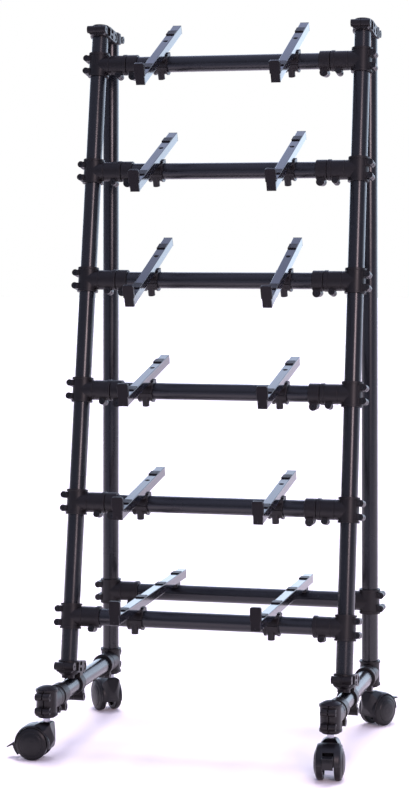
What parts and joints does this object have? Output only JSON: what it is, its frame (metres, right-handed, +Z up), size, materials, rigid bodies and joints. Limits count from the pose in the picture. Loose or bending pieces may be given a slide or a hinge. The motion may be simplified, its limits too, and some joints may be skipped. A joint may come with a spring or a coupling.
{
  "type": "rolling tiered arm rack",
  "caption": "Rolling rack of black tube: leaning front uprights carry tiers of paired padded arms that tilt, on a base with braked swivel twin-wheel casters.",
  "frame": {"origin": "centre of the overall footprint, on the floor under the wheels", "axes": "+Z up, +X to the right seen from the open front, +Y to the rear; the arms point towards -Y"},
  "size_m": [0.819, 0.6914, 1.7417],
  "materials": {
    "tube": "satin black powder coat on steel tube",
    "arm": "semi-gloss black coat on square steel tube",
    "fitting": "fine-textured matte black coat on cast fittings",
    "bolt": "black oxide steel",
    "chrome": "bright plated steel",
    "plastic": "moulded black plastic",
    "rubber": "soft black rubber",
    "caster_plastic": "moulded black nylon",
    "wheel": "moulded black nylon with a soft tread"
  },
  "bodies": {
    "frame": {"base_rails": "tube", "rear_uprights": "tube", "front_uprights": "tube", "cross_tubes": "tube", "front_tees": "fitting", "rear_tees": "fitting", "base_tees": "fitting", "locking_collars": "fitting", "frame_bolts": "bolt", "tube_caps": "plastic", "elbow_arm_clamps": "fitting", "elbow_ring_clamps": "fitting", "elbow_pins": "bolt", "caster_stems": "chrome", "caster_sockets": "plastic", "bottom_arms": "arm", "bottom_arm_clamps": "fitting", "bottom_arm_seats": "fitting", "bottom_arm_end_caps": "plastic", "bottom_arm_pads": "rubber"},
    "tier_1_arm_pair": {"tier_1_arms": "arm", "tier_1_arm_clamps": "fitting", "tier_1_arm_end_caps": "plastic", "tier_1_arm_pads": "rubber"},
    "tier_2_arm_pair": {"tier_2_arms": "arm", "tier_2_arm_clamps": "fitting", "tier_2_arm_end_caps": "plastic", "tier_2_arm_pads": "rubber"},
    "tier_3_arm_pair": {"tier_3_arms": "arm", "tier_3_arm_clamps": "fitting", "tier_3_arm_end_caps": "plastic", "tier_3_arm_pads": "rubber"},
    "tier_4_arm_pair": {"tier_4_arms": "arm", "tier_4_arm_clamps": "fitting", "tier_4_arm_end_caps": "plastic", "tier_4_arm_pads": "rubber"},
    "tier_5_arm_pair": {"tier_5_arms": "arm", "tier_5_arm_clamps": "fitting", "tier_5_arm_end_caps": "plastic", "tier_5_arm_pads": "rubber"},
    "front_left_caster": {"front_left_caster_hood": "caster_plastic", "front_left_caster_axle": "bolt"},
    "front_left_wheel_a": {"front_left_wheel_a": "wheel"},
    "front_left_wheel_b": {"front_left_wheel_b": "wheel"},
    "front_left_brake": {"front_left_brake_lever": "caster_plastic"},
    "front_right_caster": {"front_right_caster_hood": "caster_plastic", "front_right_caster_axle": "bolt"},
    "front_right_wheel_a": {"front_right_wheel_a": "wheel"},
    "front_right_wheel_b": {"front_right_wheel_b": "wheel"},
    "front_right_brake": {"front_right_brake_lever": "caster_plastic"},
    "rear_left_caster": {"rear_left_caster_hood": "caster_plastic", "rear_left_caster_axle": "bolt"},
    "rear_left_wheel_a": {"rear_left_wheel_a": "wheel"},
    "rear_left_wheel_b": {"rear_left_wheel_b": "wheel"},
    "rear_left_brake": {"rear_left_brake_lever": "caster_plastic"},
    "rear_right_caster": {"rear_right_caster_hood": "caster_plastic", "rear_right_caster_axle": "bolt"},
    "rear_right_wheel_a": {"rear_right_wheel_a": "wheel"},
    "rear_right_wheel_b": {"rear_right_wheel_b": "wheel"},
    "rear_right_brake": {"rear_right_brake_lever": "caster_plastic"}
  },
  "joints": [
    {"name": "tier_1_tilt", "type": "hinge", "parent": "frame", "child": "tier_1_arm_pair", "pos_m": [0.01702, 0.15603, 1.6328], "axis": [1, 0, 0], "range_deg": [-24, 11]},
    {"name": "tier_2_tilt", "type": "hinge", "parent": "frame", "child": "tier_2_arm_pair", "pos_m": [0.01702, 0.11089, 1.3659], "axis": [1, 0, 0], "range_deg": [-21, 14]},
    {"name": "tier_3_tilt", "type": "hinge", "parent": "frame", "child": "tier_3_arm_pair", "pos_m": [0.01702, 0.06574, 1.099], "axis": [1, 0, 0], "range_deg": [-22, 13]},
    {"name": "tier_4_tilt", "type": "hinge", "parent": "frame", "child": "tier_4_arm_pair", "pos_m": [0.01702, 0.0206, 0.8321], "axis": [1, 0, 0], "range_deg": [-12, 23]},
    {"name": "tier_5_tilt", "type": "hinge", "parent": "frame", "child": "tier_5_arm_pair", "pos_m": [0.01702, -0.02454, 0.5652], "axis": [1, 0, 0], "range_deg": [-9.5, 25.5]},
    {"name": "front_left_swivel", "type": "hinge", "parent": "frame", "child": "front_left_caster", "pos_m": [-0.31598, -0.25398, 0.08], "axis": [0, 0, 1], "continuous": true},
    {"name": "front_left_wheel_a_spin", "type": "hinge", "parent": "front_left_caster", "child": "front_left_wheel_a", "pos_m": [-0.34498, -0.25398, 0.0375], "axis": [0, -1, 0], "continuous": true},
    {"name": "front_left_wheel_b_spin", "type": "hinge", "parent": "front_left_caster", "child": "front_left_wheel_b", "pos_m": [-0.34498, -0.25398, 0.0375], "axis": [0, -1, 0], "continuous": true},
    {"name": "front_left_brake", "type": "hinge", "parent": "front_left_caster", "child": "front_left_brake", "pos_m": [-0.34498, -0.25398, 0.0375], "axis": [0, -1, 0], "range_deg": [-30, 0]},
    {"name": "front_right_swivel", "type": "hinge", "parent": "frame", "child": "front_right_caster", "pos_m": [0.35002, -0.25398, 0.08], "axis": [0, 0, 1], "continuous": true},
    {"name": "front_right_wheel_a_spin", "type": "hinge", "parent": "front_right_caster", "child": "front_right_wheel_a", "pos_m": [0.35255, -0.28287, 0.0375], "axis": [0.9962, 0.0872, 0], "continuous": true},
    {"name": "front_right_wheel_b_spin", "type": "hinge", "parent": "front_right_caster", "child": "front_right_wheel_b", "pos_m": [0.35255, -0.28287, 0.0375], "axis": [0.9962, 0.0872, 0], "continuous": true},
    {"name": "front_right_brake", "type": "hinge", "parent": "front_right_caster", "child": "front_right_brake", "pos_m": [0.35255, -0.28287, 0.0375], "axis": [0.9962, 0.0872, 0], "range_deg": [0, 30]},
    {"name": "rear_left_swivel", "type": "hinge", "parent": "frame", "child": "rear_left_caster", "pos_m": [-0.31598, 0.26202, 0.08], "axis": [0, 0, 1], "continuous": true},
    {"name": "rear_left_wheel_a_spin", "type": "hinge", "parent": "rear_left_caster", "child": "rear_left_wheel_a", "pos_m": [-0.33423, 0.28456, 0.0375], "axis": [-0.7771, -0.6293, 0], "continuous": true},
    {"name": "rear_left_wheel_b_spin", "type": "hinge", "parent": "rear_left_caster", "child": "rear_left_wheel_b", "pos_m": [-0.33423, 0.28456, 0.0375], "axis": [-0.7771, -0.6293, 0], "continuous": true},
    {"name": "rear_left_brake", "type": "hinge", "parent": "rear_left_caster", "child": "rear_left_brake", "pos_m": [-0.33423, 0.28456, 0.0375], "axis": [-0.7771, -0.6293, 0], "range_deg": [0, 30]},
    {"name": "rear_right_swivel", "type": "hinge", "parent": "frame", "child": "rear_right_caster", "pos_m": [0.35002, 0.26202, 0.08], "axis": [0, 0, 1], "continuous": true},
    {"name": "rear_right_wheel_a_spin", "type": "hinge", "parent": "rear_right_caster", "child": "rear_right_wheel_a", "pos_m": [0.36539, 0.28661, 0.0375], "axis": [-0.848, 0.5299, 0], "continuous": true},
    {"name": "rear_right_wheel_b_spin", "type": "hinge", "parent": "rear_right_caster", "child": "rear_right_wheel_b", "pos_m": [0.36539, 0.28661, 0.0375], "axis": [-0.848, 0.5299, 0], "continuous": true},
    {"name": "rear_right_brake", "type": "hinge", "parent": "rear_right_caster", "child": "rear_right_brake", "pos_m": [0.36539, 0.28661, 0.0375], "axis": [-0.848, 0.5299, 0], "range_deg": [0, 30]}
  ]
}
